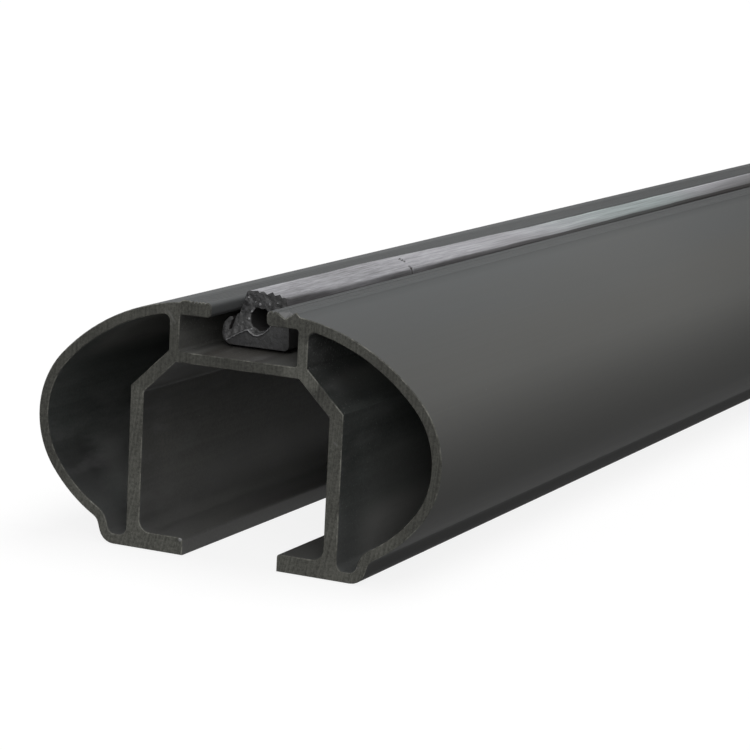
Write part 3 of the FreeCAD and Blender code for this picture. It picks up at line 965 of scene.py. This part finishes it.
def crossbar():
    """The extrusion, with a fine uneven edge round each sawn end."""
    outer = turned_left(bar_outline())
    chamber = turned_left(chamber_outline())[::-1]
    other = [spot(-point.x, point.y) for point in reversed(chamber)]
    loops = [(outer, in_hollow), (chamber, INSIDE), (other, INSIDE)]
    half = BAR_LENGTH / 2
    long_steps = [LONG_STEP * index for index in range(1, int(BAR_LENGTH / LONG_STEP))]
    places = sorted({EDGE_WIDTH, *NEAR_STEPS, *long_steps, BAR_LENGTH - EDGE_WIDTH})
    built = Skinned()
    ends = {0: [], 1: []}
    for loop, finish in loops:
        rings = [built.ring([chipped(point, step) for point in loop], step - half) for step in places]
        for near, far in zip(rings, rings[1:]):
            built.join(near, far, finish)
        for end, y in enumerate((-half, half)):
            shape = [chipped(point, 0.0) for point in loop] if end == 0 else loop
            widths = [
                EDGE_WIDTH + EDGE_WOBBLE * wobble(point.x, y, point.y, 0.9, 1.7) for point in shape
            ]
            edge = built.ring(moved_in(shape, widths), y)
            if end == 0:
                built.join(edge, rings[0], SAWN_EDGE)
            else:
                built.join(rings[-1], edge, SAWN_EDGE)
            ends[end].append(edge)
    built.cap(ends[0], SAWN, True)
    built.cap(ends[1], SAWN, False)
    return built.piece("crossbar_sawn_extrusion", [
        satin_anodised(), dull_inside(),
        # The sawn edge is paler than the face: wear, and a painted highlight along the edge
        sawn_metal("sawn_end", 0.08, 0.26), sawn_metal("sawn_edge_worn_and_highlit", 0.12, 0.34, 0.8),
    ], BAR_SHARP_DEGREES)


# The rubber strip

RUBBER, BORE, TORN, BLOCK, RIM = range(5)
neck_x = STRIP_NECK_GAP - SLOT_MOUTH / 2
strip_right = SLOT_MOUTH / 2 - STRIP_SIDE_GAP
strip_left = neck_x - STRIP_HOOK
strip_base = slot_floor + STRIP_SEAT_GAP
strip_shoulder = lip_underside - STRIP_SEAT_GAP
strip_top = BAR_HEIGHT + STRIP_RISE
fin_tip = strip_shoulder - FIN_DROP
fin_left = strip_left + FIN_LEAN
slit_left = fin_left + FIN_WALL
slit_right = slit_left + FIN_SLIT
slit_floor = fin_tip - FIN_SLIT_DEPTH
crown_left = neck_x + STRIP_NECK_LEAN
crown_right = strip_right - STRIP_FLANK
bore_centre = spot(neck_x + STRIP_BORE_OFFSET, strip_base + STRIP_BORE_FLOOR + STRIP_BORE_RADIUS)

# How far the crown has sunk, and its right flank leans out, at distances from the near end
SINK = (
    (0, 0.0), (60, 0.05), (110, 0.6), (150, 1.0), (240, 1.05), (420, 0.8), (700, 1.0), (1050, 0.9), (1200, 0.3),
)
LEAN = (
    (0, -0.35), (30, -0.3), (60, -0.2), (100, 0.3), (150, -0.2), (200, -0.8), (245, -1.3), (330, -0.7),
    (520, 0.1), (760, -0.5), (980, 0.1), (1200, -0.3),
)

# The torn step across the near end: the part above this line (X, Z) lies further in, and the line is pale
TEAR_LINE = (
    (-9.4, 38.9), (-8.13, 38.76), (-7.62, 39.06), (-6.71, 39.59), (-5.81, 40.1), (-4.52, 40.84), (-3.74, 41.05),
    (-3.19, 40.53), (-2.38, 40.2), (-1.6, 40.24), (-0.57, 40.71), (0.43, 41.66), (0.8, 42.22), (1.18, 42.45),
    (2.22, 42.61), (4.8, 42.8),
)
TEAR_START = -8.3
TEAR_DEPTH = 0.45
TEAR_CREST = 0.25
TEAR_RIM = 0.11
TEAR_LINE_STEP = 0.2

# Crumbs of rubber on the torn end, painted pale as highlights: X, Z and radius
CRUMBS = (
    (-1.74, 45.87, 0.24), (-3.36, 44.4, 0.18), (-3.95, 43.0, 0.22), (0.22, 46.09, 0.22), (-3.3, 41.25, 0.2),
    (-4.16, 47.0, 0.18), (-6.5, 44.2, 0.2), (-2.6, 46.3, 0.14), (1.9, 46.5, 0.16), (-5.2, 42.2, 0.14),
    (-6.1, 41.6, 0.13),
)
CRUMB_HEIGHT = 0.3
END_GRID = 0.24

# The top of the torn end (X, Z), which has saw-like teeth that run out a little way along the crown
TEETH = (
    (-4.6, 47.75), (-4.35, 48.15), (-2.25, 48.4), (-1.94, 48.05), (-1.0, 48.45), (-0.5, 47.8), (0.7, 48.4),
    (1.13, 47.8), (2.25, 48.2), (2.63, 47.55), (3.35, 47.75), (3.7, 47.3),
)
TEETH_RUN = 1.6

# How uneven and how flat the hollow's edge is, and over which length
BORE_RAGGED = 0.45
BORE_FLAT = 0.25
BORE_RAGGED_RUN = 6.0
BORE_POINTS = 40

# How deep the crack and the nick beside it are, and half their widths
CRACK_DEPTH = 0.3
CRACK_HALF_WIDTH = 0.45
NICK_DEPTH = 0.7
NICK_HALF_WIDTH = 0.8

# Where the strip's section is first drawn, and the steps of the ones that follow: up to where, and how long
STRIP_FIRST = 2.4
STRIP_STEPS = ((60, 1.5), (74, 0.3), (130, 1.5), (300, 4.0), (BAR_LENGTH, 14.0))
STRIP_SHARP_DEGREES = 40


def between(table, value):
    """The value that a table of (place, value) pairs gives at a place, smoothly."""
    for (low, start), (high, end) in zip(table, table[1:]):
        if value <= high:
            return start + (end - start) * ease(value, low, high)
    return table[-1][1]


def straight_between(table, value):
    """The value that a table of (place, value) pairs gives at a place, in straight lines."""
    for (low, start), (high, end) in zip(table, table[1:]):
        if value <= high:
            return start + (end - start) * max(0.0, value - low) / (high - low)
    return table[-1][1]


def crown_place(share, drop):
    """A place on the strip's crown, which is domed and leans down to the right."""
    x = crown_left + (crown_right - crown_left) * share
    return x, strip_top - STRIP_CROWN_FALL * (share - 0.5) - STRIP_CROWN_DOME * (2 * share - 1) ** 2 - drop


def strip_outline():
    """The strip's outline: foot, fin, slit, shoulder, neck, ridged crown and flank."""
    ridges = [(*crown_place(0, RIDGE_DEPTH), RIDGE_RADIUS)]
    for index in range(RIDGE_COUNT):
        ridges.append((*crown_place((index + 0.5) / RIDGE_COUNT, 0), RIDGE_RADIUS))
        ridges.append((*crown_place((index + 1) / RIDGE_COUNT, RIDGE_DEPTH), RIDGE_RADIUS))
    return rounded([
        (strip_left, strip_base, STRIP_LEFT_RADIUS),
        (strip_left + FIN_KNEE_LEAN, fin_tip - FIN_KNEE_DROP, FIN_KNEE_RADIUS),
        (fin_left, fin_tip, FIN_TIP_RADIUS),
        (slit_left, fin_tip, FIN_TIP_RADIUS),
        (slit_left - FIN_SLIT_SLANT, slit_floor, 0),
        (slit_right - FIN_SLIT_SLANT, slit_floor, 0),
        (slit_right, fin_tip, FIN_TIP_RADIUS),
        (neck_x - SHOULDER_WIDTH, strip_shoulder, FIN_TIP_RADIUS),
        (neck_x - STRIP_NECK_FLARE, strip_shoulder, 0),
        (neck_x, lip_underside + LIP_NOSE_RADIUS, 0),
        *ridges,
        (strip_right - 0.4, strip_shoulder + 1.6, 0),
        (strip_right, strip_shoulder, STRIP_SIDE_RADIUS),
        (strip_right, strip_base, STRIP_RIGHT_RADIUS),
    ], closed=True)


def cracked(x, from_near):
    """How deep the crack and the nick beside it cut into the crown."""
    off = abs(from_near - (CRACK_PLACE - x))
    crack = max(0.0, 1 - off / CRACK_HALF_WIDTH) * ease(x, -2.6, -1.9) * (1 - ease(x, 0.2, 0.8))
    nick = max(0.0, 1 - off / NICK_HALF_WIDTH) * ease(x, 2.4, 3.2)
    return CRACK_DEPTH * crack + NICK_DEPTH * nick


def pressed(point, from_near):
    """A point of the strip's section, as the strip lies at a distance from the near end."""
    x, z = point
    height = ease(z, strip_base + 1.0, strip_top)
    sink = between(SINK, from_near) + 0.08 * wobble(0.0, from_near, 0.0, 17.0, 5.3)
    lean = between(LEAN, from_near) + 0.1 * wobble(0.0, from_near, 0.0, 11.0, 8.9)
    rightness = ease(x, -1.0, 4.0)
    x += lean * rightness * ease(z, slot_floor + 4.0, BAR_HEIGHT - 1.0)
    z -= sink * height * (0.85 + 0.15 * rightness)
    if z > BAR_HEIGHT - 1.2:
        z -= cracked(x, from_near)
        if TEETH[0][0] < x < TEETH[-1][0]:
            torn_off = 1 - ease(from_near, STRIP_SETBACK, STRIP_SETBACK + TEETH_RUN)
            z += (straight_between(TEETH, x) - z) * torn_off
        z += 0.05 * wobble(x, from_near, z, 2.5, 2.2)
    return spot(x, z)


def tear_edge(x):
    """The height of the torn step's line."""
    return straight_between(TEAR_LINE, x) + 0.07 * wobble(x, 0.0, 0.0, 0.5, 4.4)


def tear(x, z):
    """How far the torn near end lies in from its foremost plane."""
    edge = tear_edge(x)
    begun = ease(x, TEAR_START - 0.4, TEAR_START + 0.8)
    above = ease(z, edge, edge + 0.3) * begun
    crest = max(0.0, 1 - abs(z - edge) / 0.22) * begun
    rough = 0.2 * wobble(x, 0.0, z, 0.9, 6.1) + 0.1 * wobble(x, 0.0, z, 0.35, 7.7)
    depth = TEAR_DEPTH * above * (1 + 0.35 * wobble(x, 0.0, z, 2.4, 9.3)) - TEAR_CREST * crest
    for crumb_x, crumb_z, size in CRUMBS:
        away = math.hypot(x - crumb_x, z - crumb_z) / (size * 1.6)
        depth -= CRUMB_HEIGHT * max(0.0, 1 - away)
    return depth + rough * (0.2 + 0.8 * above)


def torn_finish(x, z):
    """The finish of a place on the torn end: its pale line and the crumbs' painted highlights, the block under the
    line, or the rest.
    """
    edge = tear_edge(x)
    on_line = x > TEAR_START and abs(z - edge) < TEAR_RIM * (1 + 0.6 * wobble(x, 0.0, 0.0, 0.8, 2.9))
    on_crumb = any(math.hypot(x - crumb_x, z - crumb_z) < size for crumb_x, crumb_z, size in CRUMBS)
    if on_line or on_crumb:
        return RIM
    return BLOCK if z < edge else TORN


def line_places():
    """Points along both sides of the torn step's line."""
    length = TEAR_LINE[-1][0] - TEAR_START
    count = int(length / TEAR_LINE_STEP)
    places = []
    for index in range(count):
        x = TEAR_START + length * index / count
        places += [spot(x, tear_edge(x) - TEAR_RIM), spot(x, tear_edge(x) + TEAR_RIM)]
    return places


def gnawed(point, from_near):
    """A point of the bore, whose edge is uneven where the end is torn and a little flat on its left."""
    out = point - bore_centre
    torn = 1 - ease(from_near, STRIP_SETBACK, STRIP_SETBACK + BORE_RAGGED_RUN)
    reach = BORE_RAGGED * wobble(out.x, from_near, out.y, 1.1, 3.7) - BORE_FLAT * ease(-out.x, 0.6, STRIP_BORE_RADIUS)
    return point + out.normalized() * reach * torn


def strip_places():
    """Distances from the near end at which the strip's section is drawn."""
    places = [STRIP_SETBACK + STRIP_FIRST]
    far = BAR_LENGTH - STRIP_SETBACK - STRIP_FIRST
    while places[-1] < far:
        here = places[-1]
        step = next(step for end, step in STRIP_STEPS if here < end)
        places.append(min(far, here + step))
    return places


def strip_loop(loop, from_near, ragged):
    """A loop of the strip's section, as it lies at a distance from the near end."""
    return [pressed(gnawed(point, from_near) if ragged else point, from_near) for point in loop]


def rubber_strip():
    """The strip as it lies in the slot, wavy along its length, with a torn near end and a plain far end."""
    outline = turned_left(strip_outline())
    bore = turned_left([
        bore_centre + direction(360 * index / BORE_POINTS) * STRIP_BORE_RADIUS for index in range(BORE_POINTS)
    ])[::-1]
    half = BAR_LENGTH / 2
    near_y = STRIP_SETBACK - half
    far_y = half - STRIP_SETBACK
    places = strip_places()
    built = Skinned()
    near_end, far_end = [], []
    for loop, finish, ragged in ((outline, RUBBER, False), (bore, BORE, True)):
        rings = [built.ring(strip_loop(loop, step, ragged), step - half) for step in places]
        for near, far in zip(rings, rings[1:]):
            built.join(near, far, finish)
        start = strip_loop(loop, STRIP_SETBACK, ragged)
        near_end.append(built.ring(start, [near_y + tear(point.x, point.y) for point in start]))
        built.join(near_end[-1], rings[0], finish)
        far_end.append(built.ring(strip_loop(loop, BAR_LENGTH - STRIP_SETBACK, ragged), far_y))
        built.join(rings[-1], far_end[-1], finish)
    built.cap(near_end, torn_finish, True, END_GRID, lambda x, z: near_y + tear(x, z), line_places())
    built.cap(far_end, BLOCK, False)
    return built.piece("rubber_strip_torn", [
        # Rubber with the painted sheen, and a darker copy in the bore as painted shade
        rubber("rubber_with_painted_sheen", 0.05, 0.4, 0.42), rubber("shaded_rubber_in_bore", 0.03, 0.05, 0.5),
        torn_rubber("torn_rubber", 0.016, 0.06, 0.11, 0.45), torn_rubber("torn_rubber_block", 0.024, 0.048, 0.05),
        # The pale tear line, and the crumbs painted pale as highlights
        torn_rubber("torn_rubber_rim_and_highlit_crumbs", 0.13, 0.3, 0.05),
    ], STRIP_SHARP_DEGREES)


# Studio

FLOOR_SIZE = 16.0
FLOOR_LEVEL = -0.0002
FLOOR_GLOW = 0.86
FLOOR_COLOUR = 0.15
SKY_LEVEL = 0.2

# Soft lamps: name, strength, the direction they stand in and how wide they are, in degrees
LAMPS = (
    ("key_softbox", 1.98, (0.26, 0.25, 0.92), 40),
    ("front_fill", 0.8, (0.35, -0.65, 0.65), 40),
    ("low_fill", 0.68, (0.36, -0.9, 0.22), 25),
    ("back_fill", 0.9, (-0.92, 0.38, 0.1), 40),
)

# The photograph's viewpoint: sensor and lens in millimetres, and where the camera stands and how it is turned
SENSOR_WIDTH = 36.0
LENS = 137.06
NEAREST_SEEN = 0.01
CAMERA_PLACE = (0.23538, -1.04413, 0.12709)
CAMERA_RIGHT = (0.9006, 0.4318, 0.0499)
CAMERA_UP = (-0.1216, 0.14, 0.9827)
CAMERA_BACK = (0.4173, -0.891, 0.1786)


def background_rays(finish):
    """1 for rays that see the white background: straight, mirrored or through."""
    rays = "ShaderNodeLightPath"
    seen = finish.node(rays, output="Is Camera Ray") + finish.node(rays, output="Is Glossy Ray")
    return (seen + finish.node(rays, output="Is Transmission Ray")).math("MINIMUM", 1.0)


def white_floor():
    """A pale floor that looks white to the camera but keeps the bar's shadow."""
    finish = Finish(bpy.data.materials.new("pale_floor"))
    diffuse = finish.node("ShaderNodeBsdfDiffuse", None, {"Color": grey(FLOOR_COLOUR)})
    glow = finish.node("ShaderNodeEmission", None, {"Strength": background_rays(finish) * FLOOR_GLOW})
    both = finish.node("ShaderNodeAddShader", None, {0: diffuse, 1: glow})
    finish.node("ShaderNodeOutputMaterial", None, {"Surface": both})
    half = FLOOR_SIZE / 2
    mesh = bpy.data.meshes.new("floor")
    corners = [(x, y, FLOOR_LEVEL) for x, y in ((-half, -half), (half, -half), (half, half), (-half, half))]
    mesh.from_pydata(corners, [], [(0, 1, 2, 3)])
    mesh.materials.append(finish.material)
    floor = bpy.data.objects.new("floor", mesh)
    bpy.context.scene.collection.objects.link(floor)


def sky():
    """A white background that lights the bar at a lower level than it shows."""
    world = bpy.data.worlds.new("studio")
    bpy.context.scene.world = world
    finish = Finish(world)
    seen = background_rays(finish)
    strength = seen * (1.0 - SKY_LEVEL) + SKY_LEVEL
    light = finish.node("ShaderNodeBackground", None, {"Color": grey(1.0), "Strength": strength})
    finish.node("ShaderNodeOutputWorld", None, {"Surface": light})


def lamp(name, strength, towards, spread):
    """A wide soft lamp, far off in the direction given."""
    data = bpy.data.lights.new(name, "SUN")
    data.energy = strength
    data.angle = math.radians(spread)
    made = bpy.data.objects.new(name, data)
    made.rotation_mode = "QUATERNION"
    made.rotation_quaternion = Vector(towards).to_track_quat("Z", "Y")
    bpy.context.scene.collection.objects.link(made)


def camera():
    """The photograph's viewpoint."""
    data = bpy.data.cameras.new("camera")
    data.sensor_width = SENSOR_WIDTH
    data.lens = LENS
    data.clip_start = NEAREST_SEEN
    made = bpy.data.objects.new("camera", data)
    turn = Matrix((CAMERA_RIGHT, CAMERA_UP, CAMERA_BACK)).transposed().to_quaternion().normalized()
    made.matrix_world = Matrix.Translation(CAMERA_PLACE) @ turn.to_matrix().to_4x4()
    bpy.context.scene.collection.objects.link(made)
    bpy.context.scene.camera = made


bar = crossbar()
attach(bar, "root")
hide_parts("crossbar_extrusion")

strip = rubber_strip()
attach(strip, "root")
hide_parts("rubber_infill_strip")

white_floor()
sky()
for name, strength, towards, spread in LAMPS:
    lamp(name, strength, towards, spread)
camera()
bpy.context.scene.view_settings.view_transform = "Standard"
